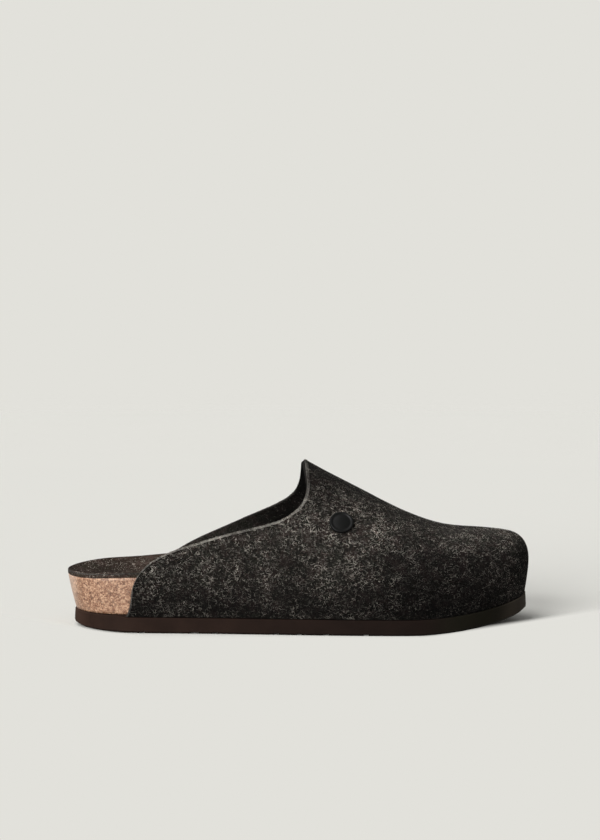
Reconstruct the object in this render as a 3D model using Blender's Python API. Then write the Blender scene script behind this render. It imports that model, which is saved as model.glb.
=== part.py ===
"""Clog slipper for the right foot, as construction solids in metres.

+X runs from the heel to the toe, +Y to the inner side of the foot, +Z up from the floor.
All pieces hang on one last: a closed plan outline, a ridge line over the foot and a
superellipse section between the two. Footbed and insole keep inside the last, the felt
upper lies outside it by a small gap, and the outsole carries both on a flat top.
"""
import math

import bmesh
import bpy
import numpy as np
from mathutils import Vector

# Main sizes
LENGTH = 0.2800
INSTEP_HEIGHT = 0.0956
BALL_WIDTH = 0.1000
SOLE_THICKNESS = 0.0103
TOE_SPRING = 0.0102
SPRING_START = 0.0660
SPRING_POWER = 1.7
HEEL_RISE = 0.0018
HEEL_RISE_START = -0.0880
HEEL_RISE_POWER = 1.4
FELT_WALL = 0.0030
INSOLE_FELT = 0.0027
FIT_GAP = 0.0003

# Last
HEEL_FLARE = 0.0062
SIDE_FLARE = 0.0020
TOE_FLARE = 0.0034
FLARE_HEIGHT = 0.0260
FLARE_POWER = 1.25
INNER_LENGTH = LENGTH - FELT_WALL - FIT_GAP
HEEL_X = -LENGTH / 2
HEEL_POLE_X = HEEL_X + 0.140 * LENGTH
TOE_POLE_X = HEEL_X + 0.845 * LENGTH
HEEL_POLE_Y = -0.0010
TOE_POLE_Y = 0.0050

# Outsole
SOLE_LEDGE = 0.0005
SOLE_HEEL_LEDGE = 0.0003
FELT_REBATE = 0.0010
SOLE_FLARE = 0.0004
TREAD_BEVEL = 0.0012
TOP_BEVEL = 0.0005
PLATEAU_INSET = 0.0003
GROOVE_DEPTH = 0.0012
GROOVE_REACH = 0.0700

# Footbed
TOP_SHARES = (0.93, 0.82, 0.66, 0.46, 0.24, 0.0)
SIDE_SHARES = (0.25, 0.5, 0.75, 1.0)

# Upper
FELT_BACK_X = -0.1015
REBATE_BLEND = 0.0050
LEDGE_BLEND = 0.0340
CORNER_ROW = 4
THROAT_ROW_OUTER = 16
THROAT_ROW_INNER = 17
MITRE_LIMIT = 1.25

# Insole
INSOLE_BEVEL = 0.0009
INSOLE_BEVEL_MIDDLE = 0.3

# Side stud
STUD_RADIUS = 0.0073
STUD_ASPECT = 0.94
STUD_HEIGHT = 0.0019
STUD_X = 0.0252
STUD_TURN = 0.767
STUD_GAP = 0.0004
STUD_STEP = 0.0020
STUD_TURN_STEP = 0.02

# Mesh steps
ARCH_STEPS = 24
TOE_STEPS = 14
HEEL_STEPS = 14
COLLAR_STEPS = 15
RIDGE_STEPS = 13
LOW_ROWS = 8
HIGH_ROWS = 6
OUTLINE_POINTS = 960
SECTION_POINTS = 60
STUD_STEPS = 40

# Half section of the stud: share of its radius, share of its height
STUD_PROFILE = (
    (0.00, 0.00),
    (0.92, 0.00),
    (1.00, 0.18),
    (1.00, 0.62),
    (0.95, 0.90),
    (0.88, 1.00),
    (0.80, 0.94),
    (0.76, 0.68),
    (0.60, 0.86),
    (0.35, 1.04),
    (0.00, 1.12),
)

# Plan outline: share of the inner length, inner and outer half width as shares of the ball width
PLAN = (
    (-0.002, -0.010, -0.010),
    (0.020, 0.170, -0.190),
    (0.068, 0.292, -0.306),
    (0.140, 0.352, -0.350),
    (0.230, 0.362, -0.366),
    (0.340, 0.360, -0.385),
    (0.450, 0.388, -0.412),
    (0.560, 0.452, -0.440),
    (0.660, 0.514, -0.458),
    (0.740, 0.538, -0.462),
    (0.820, 0.516, -0.444),
    (0.890, 0.450, -0.386),
    (0.945, 0.345, -0.284),
    (0.984, 0.218, -0.154),
    (1.004, 0.040, 0.040),
)

# Ridge of the last: share of the length, height as share of the instep height
RIDGE = (
    (0.000, 1.200),
    (0.286, 1.190),
    (0.429, 1.112),
    (0.512, 1.022),
    (0.549, 0.956),
    (0.592, 0.886),
    (0.635, 0.817),
    (0.679, 0.745),
    (0.722, 0.680),
    (0.765, 0.627),
    (0.809, 0.586),
    (0.852, 0.570),
    (0.895, 0.563),
    (0.939, 0.564),
    (0.990, 0.592),
)

# Section fullness: share of the length, exponent of the superellipse at the sides
FULLNESS = (
    (0.000, 2.30),
    (0.400, 2.20),
    (0.512, 2.05),
    (0.620, 2.25),
    (0.720, 2.50),
    (0.850, 2.90),
    (1.000, 3.00),
)
TOE_FULLNESS = 5.3

# Collar line on the last from the floor of the upper to the peak: share of the length, share of the instep height
COLLAR_OUTER = (
    (0.1375, 0.095),
    (0.1447, 0.146),
    (0.1482, 0.200),
    (0.1500, 0.250),
    (0.1539, 0.300),
    (0.1604, 0.344),
    (0.1679, 0.382),
    (0.1818, 0.422),
    (0.1968, 0.453),
    (0.2130, 0.479),
    (0.2382, 0.514),
    (0.2782, 0.549),
    (0.3450, 0.608),
    (0.4104, 0.653),
    (0.4643, 0.693),
    (0.4843, 0.720),
    (0.4993, 0.756),
    (0.5096, 0.792),
    (0.5154, 0.837),
    (0.5177, 0.880),
    (0.5154, 0.923),
    (0.5125, 0.970),
    (0.5105, 1.024),
)
COLLAR_INNER = (
    (0.1375, 0.095),
    (0.1447, 0.146),
    (0.1482, 0.200),
    (0.1518, 0.250),
    (0.1582, 0.288),
    (0.1679, 0.316),
    (0.1820, 0.342),
    (0.1980, 0.362),
    (0.2179, 0.388),
    (0.2440, 0.436),
    (0.2664, 0.473),
    (0.2886, 0.505),
    (0.3371, 0.566),
    (0.3861, 0.629),
    (0.4125, 0.661),
    (0.4393, 0.693),
    (0.4636, 0.727),
    (0.4830, 0.762),
    (0.4940, 0.798),
    (0.5000, 0.836),
    (0.5030, 0.876),
    (0.5045, 0.918),
    (0.5060, 0.974),
    (0.5105, 1.024),
)

# Top of the footbed above the floor: share of the length, outer rim, inner rim and middle line, as shares
# of the instep height, and the power of the dish between middle line and rim
FOOTBED = (
    (0.000, 0.320, 0.332, 0.262, 2.6),
    (0.060, 0.328, 0.342, 0.243, 2.6),
    (0.150, 0.343, 0.348, 0.232, 2.6),
    (0.230, 0.338, 0.369, 0.238, 2.4),
    (0.330, 0.316, 0.374, 0.252, 2.2),
    (0.450, 0.280, 0.345, 0.255, 2.2),
    (0.600, 0.245, 0.284, 0.226, 2.2),
    (0.750, 0.220, 0.232, 0.200, 2.4),
    (0.880, 0.245, 0.245, 0.225, 2.6),
    (0.960, 0.286, 0.286, 0.268, 2.6),
    (1.000, 0.308, 0.308, 0.290, 2.6),
)

# Tread grooves across the sole: share of the length, width
GROOVES = (
    (0.171, 0.0030),
    (0.281, 0.0058),
    (0.325, 0.0030),
    (0.454, 0.0030),
    (0.502, 0.0030),
    (0.559, 0.0030),
    (0.643, 0.0030),
)


def clear_scene():
    """Remove every object that the file starts with."""
    for old in list(bpy.data.objects):
        bpy.data.objects.remove(old, do_unlink=True)


def material(name, colour, roughness, metallic):
    """A plain material for one piece."""
    made = bpy.data.materials.new(name)
    made.use_nodes = True
    shader = made.node_tree.nodes["Principled BSDF"]
    shader.inputs["Base Color"].default_value = (*colour, 1.0)
    shader.inputs["Roughness"].default_value = roughness
    shader.inputs["Metallic"].default_value = metallic
    return made


def read_rows(table, at, column):
    """Value of one column of a table at a share, by a cubic through its rows."""
    rows = np.array(table)
    x, y = rows[:, 0], rows[:, column]
    slope = np.gradient(y, x)
    i = int(np.clip(np.searchsorted(x, at) - 1, 0, len(x) - 2))
    step = x[i + 1] - x[i]
    t = float(np.clip((at - x[i]) / step, 0.0, 1.0))
    return float(
        (2 * t**3 - 3 * t**2 + 1) * y[i]
        + (t**3 - 2 * t**2 + t) * step * slope[i]
        + (3 * t**2 - 2 * t**3) * y[i + 1]
        + (t**3 - t**2) * step * slope[i + 1]
    )


def share_of_length(x):
    """Place along the foot as a share of the length, from the heel."""
    return (x - HEEL_X) / LENGTH


def ridge_height(x):
    """Height of the ridge of the last."""
    return INSTEP_HEIGHT * read_rows(RIDGE, share_of_length(x), 1)


def side_fullness(x):
    """Exponent of the section at the sides of the foot."""
    return read_rows(FULLNESS, share_of_length(x), 1)


def spring(x):
    """Rise of the whole sole towards the toe."""
    start = max(0.0, x - SPRING_START)
    return TOE_SPRING * (start / (LENGTH / 2 - SPRING_START)) ** SPRING_POWER


def tread_height(x):
    """Height of the underside of the sole above the floor."""
    start = max(0.0, HEEL_RISE_START - x)
    return spring(x) + HEEL_RISE * (start / (HEEL_RISE_START - HEEL_X)) ** HEEL_RISE_POWER


def felt_cover(x, blend):
    """0 behind the upper and 1 beside it, growing over a length behind its back edge."""
    t = min(1.0, max(0.0, (x - FELT_BACK_X + blend) / blend))
    return t * t * (3 - 2 * t)


def ledge_height(x, cover):
    """Height of the outsole under the felt where cover is 1, and beside it where cover is 0."""
    return spring(x) + SOLE_THICKNESS - FELT_REBATE * cover


def closed_curve(corners, count):
    """Closed smooth curve through the corners, evenly spaced along its length."""
    corners = np.array(corners)
    dense = []
    total = len(corners)
    for i in range(total):
        a, b, c, d = (corners[(i + k) % total] for k in (-1, 0, 1, 2))
        ta = math.sqrt(np.linalg.norm(b - a))
        tb = ta + math.sqrt(np.linalg.norm(c - b))
        tc = tb + math.sqrt(np.linalg.norm(d - c))
        for t in np.linspace(ta, tb, 40, endpoint=False):
            p = (ta - t) / ta * a + t / ta * b
            q = (tb - t) / (tb - ta) * b + (t - ta) / (tb - ta) * c
            r = (tc - t) / (tc - tb) * c + (t - tb) / (tc - tb) * d
            s = (tb - t) / tb * p + t / tb * q
            u = (tc - t) / (tc - ta) * q + (t - ta) / (tc - ta) * r
            dense.append((tb - t) / (tb - ta) * s + (t - ta) / (tb - ta) * u)
    dense = np.array(dense + dense[:1])
    run = np.concatenate(([0.0], np.cumsum(np.linalg.norm(np.diff(dense, axis=0), axis=1))))
    want = np.linspace(0.0, run[-1], count, endpoint=False)
    return np.column_stack([np.interp(want, run, dense[:, k]) for k in (0, 1)])


def plan_outline():
    """The widest outline of the last, seen from above."""
    rows = [(HEEL_X + share * INNER_LENGTH, inner * BALL_WIDTH, outer * BALL_WIDTH) for share, inner, outer in PLAN]
    corners = [(x, outer) for x, _, outer in rows]
    corners += [(x, inner) for x, inner, _ in reversed(rows[1:-1])]
    return closed_curve(corners, OUTLINE_POINTS)


OUTLINE = plan_outline()


class Ray:
    """A level ray from the spine of the last out to its outline."""

    def __init__(self, x, y, heading_x, heading_y):
        self.origin = np.array((x, y))
        self.heading = np.array((heading_x, heading_y))
        self.reach, self.slant = self.meet()
        end_flare = HEEL_FLARE if heading_x < 0 else TOE_FLARE
        self.flare = (SIDE_FLARE + (end_flare - SIDE_FLARE) * heading_x**2) * self.slant
        edge = self.origin + self.heading * (self.reach - self.flare)
        self.edge_x = float(edge[0])
        forward = max(0.0, heading_x)
        side = side_fullness(self.origin[0])
        self.fullness = side + (TOE_FULLNESS - side) * forward**2
        self.foot = ledge_height(self.edge_x, felt_cover(self.edge_x, REBATE_BLEND)) + FIT_GAP

    def meet(self):
        """Distance to the outline, and how much a step across the wall grows along this ray."""
        off = OUTLINE - self.origin
        side = self.heading[0] * off[:, 1] - self.heading[1] * off[:, 0]
        ahead = off @ self.heading
        after = np.roll(side, -1)
        for i in np.nonzero((side <= 0) & (after > 0))[0]:
            k = (i + 1) % len(OUTLINE)
            t = side[i] / (side[i] - side[k])
            reach = ahead[i] + (ahead[k] - ahead[i]) * t
            if reach > 0:
                along = OUTLINE[k] - OUTLINE[i]
                normal = np.array((along[1], -along[0])) / np.linalg.norm(along)
                return float(reach), float(1.0 / abs(normal @ self.heading))
        raise ValueError("ray misses the outline")

    def section(self, psi):
        """Point of the last at one turn of its section, from 0 at the foot to a right angle at the ridge."""
        n = self.fullness
        size = (math.cos(psi) ** n + math.sin(psi) ** n) ** (1 / n)
        out = self.reach * max(0.0, math.cos(psi)) / size
        x = self.origin[0] + self.heading[0] * out
        rise = (ridge_height(x) - self.foot) * math.sin(psi) / size
        left = max(0.0, 1.0 - rise / FLARE_HEIGHT)
        out -= self.flare * left**FLARE_POWER
        return self.at(out, self.foot + rise)

    def at(self, out, z):
        """Point at a distance along the ray and a height."""
        plan = self.origin + self.heading * out
        return np.array((plan[0], plan[1], z))

    def reach_at(self, z):
        """Distance to the last at a height near the footbed."""
        turns = np.linspace(0.0, math.pi / 2, SECTION_POINTS)
        points = np.array([self.section(t) for t in turns])
        out = (points[:, :2] - self.origin) @ self.heading
        return float(np.interp(z, points[:, 2], out))

    def turn_at(self, z):
        """Turn of the section at which the last has a height, for rays straight across the foot."""
        n = self.fullness
        rise = np.clip((z - self.foot) / (ridge_height(self.origin[0]) - self.foot), 0.0, 1.0)
        return math.atan2(rise, max(0.0, 1.0 - rise**n) ** (1 / n))


def spine_y(x):
    """Place of the spine of the last across the foot."""
    t = (x - HEEL_POLE_X) / (TOE_POLE_X - HEEL_POLE_X)
    return HEEL_POLE_Y + (TOE_POLE_Y - HEEL_POLE_Y) * min(1.0, max(0.0, t))


def across(x, side):
    """Ray straight across the foot: side -1 outer, +1 inner."""
    return Ray(x, spine_y(x), 0.0, side)


def fan(pole_x, start, turn, steps):
    """Rays round one end of the foot, without the first and last."""
    y = spine_y(pole_x)
    made = []
    for i in range(1, steps):
        angle = start + turn * i / steps
        made.append(Ray(pole_x, y, math.cos(angle), math.sin(angle)))
    return made


def ring_rays():
    """Rays round the whole foot, from the heel along the outer side and back along the inner side."""
    places = np.linspace(HEEL_POLE_X, TOE_POLE_X, ARCH_STEPS + 1)
    outer = [across(x, -1.0) for x in places]
    toe = fan(TOE_POLE_X, -math.pi / 2, math.pi, TOE_STEPS)
    inner = [across(x, 1.0) for x in places[::-1]]
    heel = fan(HEEL_POLE_X, math.pi / 2, math.pi, HEEL_STEPS)
    return outer + toe + inner + heel


def new_object(name, bm, paint, flat_angle=35.0):
    """Object from a finished bmesh: doubles welded, faces outward, smooth except over sharp edges."""
    bmesh.ops.remove_doubles(bm, verts=bm.verts, dist=1e-6)
    bmesh.ops.dissolve_degenerate(bm, edges=bm.edges, dist=1e-6)
    bmesh.ops.recalc_face_normals(bm, faces=bm.faces)
    mesh = bpy.data.meshes.new(name)
    for face in bm.faces:
        face.smooth = True
    for edge in bm.edges:
        if len(edge.link_faces) == 2:
            edge.smooth = edge.calc_face_angle(0.0) < math.radians(flat_angle)
    bm.to_mesh(mesh)
    bm.free()
    mesh.materials.append(paint)
    made = bpy.data.objects.new(name, mesh)
    bpy.context.scene.collection.objects.link(made)
    return made


def ring_solid(name, rings, paint):
    """Closed body from rings of points, the first and the last of which lie on the spine."""
    bm = bmesh.new()
    rows = [[bm.verts.new(Vector(p)) for p in ring] for ring in rings]
    count = len(rings[0])
    for low, high in zip(rows, rows[1:]):
        for i in range(count):
            k = (i + 1) % count
            bm.faces.new((low[i], low[k], high[k], high[i]))
    return new_object(name, bm, paint)


def outsole(rays, paint):
    """Sprung sole plate with a ledge for the felt and grooves across the tread."""

    def ring(reach_of, height_of):
        """One point for each ray from a reach and a height."""
        points = []
        for ray in rays:
            point = ray.at(reach_of(ray), 0.0)
            point[2] = height_of(ray, point[0])
            points.append(point)
        return points

    def base(ray):
        """Reach of the foot of the last."""
        return ray.reach - ray.flare

    def rim(ray):
        """Reach of the edge of the sole."""
        cover = felt_cover(ray.edge_x, LEDGE_BLEND)
        felt = FIT_GAP + FELT_WALL + SOLE_LEDGE
        return base(ray) + (SOLE_HEEL_LEDGE + (felt - SOLE_HEEL_LEDGE) * cover) * ray.slant

    def ledge(ray, x):
        """Height of the ledge round the footbed."""
        return ledge_height(x, felt_cover(ray.edge_x, REBATE_BLEND))

    def tread(ray, x):
        """Height of the underside."""
        return tread_height(x)

    def plateau(ray, x):
        """Height of the flat top under the footbed."""
        return spring(x) + SOLE_THICKNESS

    rings = [ring(lambda ray, s=s: s * (rim(ray) - TREAD_BEVEL), tread) for s in (0.0, 0.5, 1.0)]
    rings.append(ring(lambda ray: rim(ray) + SOLE_FLARE, lambda ray, x: tread_height(x) + TREAD_BEVEL))
    rings.append(ring(rim, lambda ray, x: ledge(ray, x) - TOP_BEVEL))
    rings.append(ring(lambda ray: rim(ray) - TOP_BEVEL, ledge))
    rings.append(ring(lambda ray: base(ray) - PLATEAU_INSET, ledge))
    rings += [ring(lambda ray, s=s: s * (base(ray) - PLATEAU_INSET), plateau) for s in (1.0, 0.5, 0.0)]
    made = ring_solid("outsole", rings, paint)

    bm = bmesh.new()
    for share, width in GROOVES:
        middle = HEEL_X + share * LENGTH
        box = bmesh.ops.create_cube(bm, size=1.0)["verts"]
        bmesh.ops.scale(bm, vec=(width, 2 * GROOVE_REACH, 2 * GROOVE_DEPTH), verts=box)
        bmesh.ops.translate(bm, vec=(middle, 0.0, 0.0), verts=box)
    cutter = new_object("groove_cutter", bm, paint)
    cutter.hide_render = True
    cutter.display_type = "WIRE"
    cut = made.modifiers.new("grooves", "BOOLEAN")
    cut.operation = "DIFFERENCE"
    cut.solver = "EXACT"
    cut.object = cutter
    return made


def footbed_top(ray, share):
    """Height of the top of the footbed at a share of the way from the spine to its rim."""
    rim = ray.at(ray.reach, 0.0)
    point = ray.at(ray.reach * share, 0.0)
    at_rim = share_of_length(rim[0])
    at_point = share_of_length(point[0])
    side = 0.5 + 0.5 * ray.heading[1]
    height = (1 - side) * read_rows(FOOTBED, at_rim, 1) + side * read_rows(FOOTBED, at_rim, 2)
    middle = read_rows(FOOTBED, at_point, 3)
    power = read_rows(FOOTBED, at_point, 4)
    return INSTEP_HEIGHT * (middle + (height - middle) * share**power)


def footbed(rays, paint):
    """Moulded cork body: flat underneath, last-shaped sides, dished top."""
    rims = [footbed_top(ray, 1.0) for ray in rays]

    def floor(share):
        """Ring of the underside at a share of the way to its edge."""
        points = []
        for ray in rays:
            low = ray.reach_at(spring(ray.edge_x) + SOLE_THICKNESS + FIT_GAP)
            point = ray.at(share * low, 0.0)
            point[2] = spring(point[0]) + SOLE_THICKNESS + FIT_GAP
            points.append(point)
        return points

    rings = [floor(0.0), floor(0.5), floor(1.0)]
    for up in SIDE_SHARES:
        side = []
        for ray, rim in zip(rays, rims):
            low = spring(ray.edge_x) + SOLE_THICKNESS + FIT_GAP
            z = low + (rim - low) * up
            side.append(ray.at(ray.reach_at(z), z))
        rings.append(side)
    for share in TOP_SHARES:
        rings.append([ray.at(share * ray.reach_at(rim), footbed_top(ray, share)) for ray, rim in zip(rays, rims)])
    return ring_solid("cork_footbed", rings, paint)


def insole(rays, paint):
    """Felt cover on the footbed, with the same outline and an eased top edge."""
    rims = [footbed_top(ray, 1.0) + FIT_GAP for ray in rays]

    def cover(share, lift):
        """Ring of the underside or, lifted, of the top."""
        return [
            ray.at(share * ray.reach_at(rim), footbed_top(ray, share) + FIT_GAP + lift) for ray, rim in zip(rays, rims)
        ]

    def edge(lift, inset):
        """Ring of the cut edge."""
        return [ray.at(ray.reach_at(rim + lift) - inset, rim + lift) for ray, rim in zip(rays, rims)]

    rings = [cover(share, 0.0) for share in reversed(TOP_SHARES)]
    rings.append(edge(0.0, 0.0))
    rings.append(edge(INSOLE_FELT - INSOLE_BEVEL, 0.0))
    middle = INSOLE_BEVEL_MIDDLE * INSOLE_BEVEL
    rings.append(edge(INSOLE_FELT - middle, middle))
    rings.append(edge(INSOLE_FELT, INSOLE_BEVEL))
    rings += [cover(share, INSOLE_FELT) for share in TOP_SHARES]
    return ring_solid("insole", rings, paint)


def line_at(points, steps):
    """Points of a polyline, evenly spaced along it."""
    points = np.array(points)
    run = np.concatenate(([0.0], np.cumsum(np.linalg.norm(np.diff(points, axis=0), axis=1))))
    want = np.linspace(0.0, run[-1], steps + 1)
    return np.column_stack([np.interp(want, run, points[:, k]) for k in range(points.shape[1])])


def dense_line(table):
    """The collar table as a fine line in place and height, smooth through its rows."""
    rows = np.array(table)
    run = np.concatenate(([0.0], np.cumsum(np.linalg.norm(np.diff(rows, axis=0), axis=1))))
    fine = np.linspace(0.0, run[-1], 400)
    made = []
    for column in (0, 1):
        pairs = np.column_stack((run, rows[:, column]))
        made.append([read_rows(pairs, t, 1) for t in fine])
    place, height = np.array(made)
    return np.column_stack((HEEL_X + place * LENGTH, height * INSTEP_HEIGHT))


def blend_patch(bottom, top, left, right):
    """Grid of points between four border lines that meet at their ends, column by column."""
    columns, rows = len(bottom) - 1, len(left) - 1
    grid = []
    for i in range(columns + 1):
        u = i / columns
        column = []
        for j in range(rows + 1):
            v = j / rows
            corners = (1 - u) * ((1 - v) * bottom[0] + v * top[0]) + u * ((1 - v) * bottom[-1] + v * top[-1])
            column.append((1 - v) * bottom[i] + v * top[i] + (1 - u) * left[j] + u * right[j] - corners)
        grid.append(column)
    return grid


def side_patches(side, table, throat_row):
    """Grids of last points for one side of the upper: under the collar, and from its throat to the toe pole."""
    collar = dense_line(table)
    heights = INSTEP_HEIGHT * np.array(table)[:, 1]
    corner = int(np.argmax(collar[:, 1] >= heights[CORNER_ROW]))
    throat = int(np.argmax(collar[:, 1] >= heights[throat_row]))

    def turns(line):
        """Places and turns of the section along a line of places and heights."""
        return np.array([(x, across(x, side).turn_at(z)) for x, z in line])

    back = turns(line_at(collar[: corner + 1], LOW_ROWS))
    back[0, 1] = 0.0
    side_line = turns(line_at(collar[corner : throat + 1], COLLAR_STEPS))
    front = turns(line_at(collar[throat:], HIGH_ROWS))
    front[-1, 1] = math.pi / 2
    throat_x, peak_x = front[0, 0], front[-1, 0]
    rise = np.linspace(0.0, front[0, 1], LOW_ROWS + 1)
    column = np.column_stack((np.full(LOW_ROWS + 1, throat_x), rise))

    def level(start, end, steps, psi):
        """Evenly spaced places at one turn."""
        return np.column_stack((np.linspace(start, end, steps + 1), np.full(steps + 1, psi)))

    behind = blend_patch(level(back[0, 0], throat_x, COLLAR_STEPS, 0.0), side_line, back, column)
    rows = LOW_ROWS + HIGH_ROWS
    pole = np.column_stack((np.full(rows + 1, TOE_POLE_X), np.linspace(0.0, math.pi / 2, rows + 1)))
    ahead = blend_patch(
        level(throat_x, TOE_POLE_X, RIDGE_STEPS, 0.0),
        level(peak_x, TOE_POLE_X, RIDGE_STEPS, math.pi / 2),
        np.concatenate((column, front[1:])),
        pole,
    )
    return [[[across(x, side).section(psi) for x, psi in column] for column in grid] for grid in (behind, ahead)]


def upper(paint):
    """Felt shell: the last grown by the fit gap inside and by the wall outside, open above and below."""
    grids = side_patches(-1.0, COLLAR_OUTER, THROAT_ROW_OUTER) + side_patches(1.0, COLLAR_INNER, THROAT_ROW_INNER)
    turns = np.linspace(0.0, math.pi / 2, LOW_ROWS + HIGH_ROWS + 1)
    toe_rays = fan(TOE_POLE_X, -math.pi / 2, math.pi, TOE_STEPS)
    toe_rays = [across(TOE_POLE_X, -1.0), *toe_rays, across(TOE_POLE_X, 1.0)]
    grids.append([[ray.section(t) for t in turns] for ray in toe_rays])

    sheet = bmesh.new()
    feet = []
    for grid in grids:
        rows = [[sheet.verts.new(Vector(p)) for p in column] for column in grid]
        feet += [column[0].co.to_tuple(6) for column in rows]
        for a, b in zip(rows, rows[1:]):
            for j in range(len(a) - 1):
                sheet.faces.new((a[j], b[j], b[j + 1], a[j + 1]))
    bmesh.ops.remove_doubles(sheet, verts=sheet.verts, dist=1e-6)
    bmesh.ops.dissolve_degenerate(sheet, edges=sheet.edges, dist=1e-6)
    bmesh.ops.recalc_face_normals(sheet, faces=sheet.faces)
    sheet.normal_update()
    top = max(sheet.faces, key=lambda face: face.calc_center_median().z)
    if top.normal.z < 0:
        bmesh.ops.reverse_faces(sheet, faces=sheet.faces)
        sheet.normal_update()

    low = {vert for vert in sheet.verts if vert.co.to_tuple(6) in feet}
    solid = bmesh.new()
    inside, outside = {}, {}
    for vert in sheet.verts:
        normal = vert.normal.copy()
        if vert in low:
            normal.z = 0.0
            normal.normalize()
        thick = min(MITRE_LIMIT, vert.calc_shell_factor())
        inside[vert] = solid.verts.new(vert.co + normal * FIT_GAP * thick)
        outside[vert] = solid.verts.new(vert.co + normal * (FIT_GAP + FELT_WALL) * thick)
        if vert in low:
            for end in (inside[vert], outside[vert]):
                end.co.z = ledge_height(end.co.x, 1.0) + FIT_GAP
    for face in sheet.faces:
        solid.faces.new([outside[v] for v in face.verts])
        solid.faces.new([inside[v] for v in reversed(face.verts)])
    for edge in sheet.edges:
        if edge.is_boundary:
            a, b = edge.verts
            solid.faces.new((outside[a], outside[b], inside[b], inside[a]))
    sheet.free()
    return new_object("upper", solid, paint, 50.0)


def side_stud(paint):
    """Plain oval cap on the outer side: a raised rim round a low dome."""
    ray = across(STUD_X, -1.0)
    here = Vector(ray.section(STUD_TURN))
    ahead = Vector(across(STUD_X + STUD_STEP, -1.0).section(STUD_TURN))
    above = Vector(ray.section(STUD_TURN + STUD_TURN_STEP))
    normal = (ahead - here).cross(above - here).normalized()
    if normal.y > 0:
        normal.negate()
    bm = bmesh.new()
    verts = [bm.verts.new((r * STUD_RADIUS, 0.0, z * STUD_HEIGHT)) for r, z in STUD_PROFILE]
    edges = [bm.edges.new(pair) for pair in zip(verts, verts[1:])]
    bmesh.ops.spin(
        bm,
        geom=verts + edges,
        cent=(0, 0, 0),
        axis=(0, 0, 1),
        angle=2 * math.pi,
        steps=STUD_STEPS,
        use_duplicate=False,
    )
    bmesh.ops.scale(bm, vec=(1.0, STUD_ASPECT, 1.0), verts=bm.verts)
    start = here + normal * (FIT_GAP + FELT_WALL + STUD_GAP)
    turn = normal.to_track_quat("Z", "Y").to_matrix().to_4x4()
    turn.translation = start
    bmesh.ops.transform(bm, matrix=turn, verts=bm.verts)
    return new_object("side_stud", bm, paint, 50.0)


def centre_on_floor(pieces):
    """Move every piece so that the whole stands on the floor with its box centred on the origin."""
    corners = np.array([vert.co for piece in pieces for vert in piece.data.vertices])
    low, high = corners.min(axis=0), corners.max(axis=0)
    shift = Vector((-(low[0] + high[0]) / 2, -(low[1] + high[1]) / 2, -low[2]))
    for piece in pieces:
        for vert in piece.data.vertices:
            vert.co += shift
    for cut in pieces[0].modifiers:
        for vert in cut.object.data.vertices:
            vert.co += shift


def main():
    """Build the five pieces."""
    clear_scene()
    rays = ring_rays()
    felt = material("grey_felt", (0.030, 0.028, 0.030), 0.95, 0.0)
    lining = material("insole_felt", (0.035, 0.030, 0.028), 0.95, 0.0)
    cork = material("cork", (0.42, 0.29, 0.19), 0.70, 0.0)
    rubber = material("sole_rubber", (0.030, 0.021, 0.017), 0.60, 0.0)
    plastic = material("stud_plastic", (0.012, 0.012, 0.013), 0.40, 0.0)
    sole = outsole(rays, rubber)
    rest = [footbed(rays, cork), insole(rays, lining), upper(felt), side_stud(plastic)]
    centre_on_floor([sole, *rest])


main()
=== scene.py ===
"""Felt clog slipper on a pale studio floor.

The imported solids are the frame. Each is shown by a smoother copy of itself with the finish
of the real material, and the felt gets loose wool fibres on its faces and cut edges.
"""

import logging
import math
from dataclasses import dataclass
from enum import Enum
from typing import Any, Sequence, Union

import bmesh
import bpy
import numpy as np
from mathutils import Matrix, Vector
from mathutils.bvhtree import BVHTree


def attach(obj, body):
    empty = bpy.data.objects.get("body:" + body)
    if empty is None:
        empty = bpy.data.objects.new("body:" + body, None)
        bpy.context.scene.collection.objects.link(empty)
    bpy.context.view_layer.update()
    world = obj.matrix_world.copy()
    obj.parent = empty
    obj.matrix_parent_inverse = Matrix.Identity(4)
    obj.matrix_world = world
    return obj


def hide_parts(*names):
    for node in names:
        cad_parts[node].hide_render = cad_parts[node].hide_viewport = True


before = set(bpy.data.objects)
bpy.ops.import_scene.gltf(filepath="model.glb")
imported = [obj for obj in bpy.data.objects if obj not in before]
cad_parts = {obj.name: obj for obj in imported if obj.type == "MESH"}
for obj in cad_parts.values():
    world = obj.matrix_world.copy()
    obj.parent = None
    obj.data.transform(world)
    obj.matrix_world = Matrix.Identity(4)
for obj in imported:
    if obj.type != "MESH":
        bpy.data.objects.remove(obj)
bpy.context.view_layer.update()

LOG = logging.getLogger("clog_slipper")
BODY = "root"
MM = 0.001

# Corners nearer than this are one, and two triangles become one quad up to these
# angles in degrees, out of plane and out of square
MERGE_DISTANCE = 0.01 * MM
JOIN_BEND = 25.0
JOIN_SKEW = 60.0

# Guards against a division by nothing
NO_AREA = 1e-14
NO_LENGTH = 1e-12

Colour = tuple[float, float, float]
Place = tuple[float, float, float]
Span = tuple[float, float]
Ramp = tuple[float, float, float, float]
Value = Union["Wire", float]


# Shader building


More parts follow.
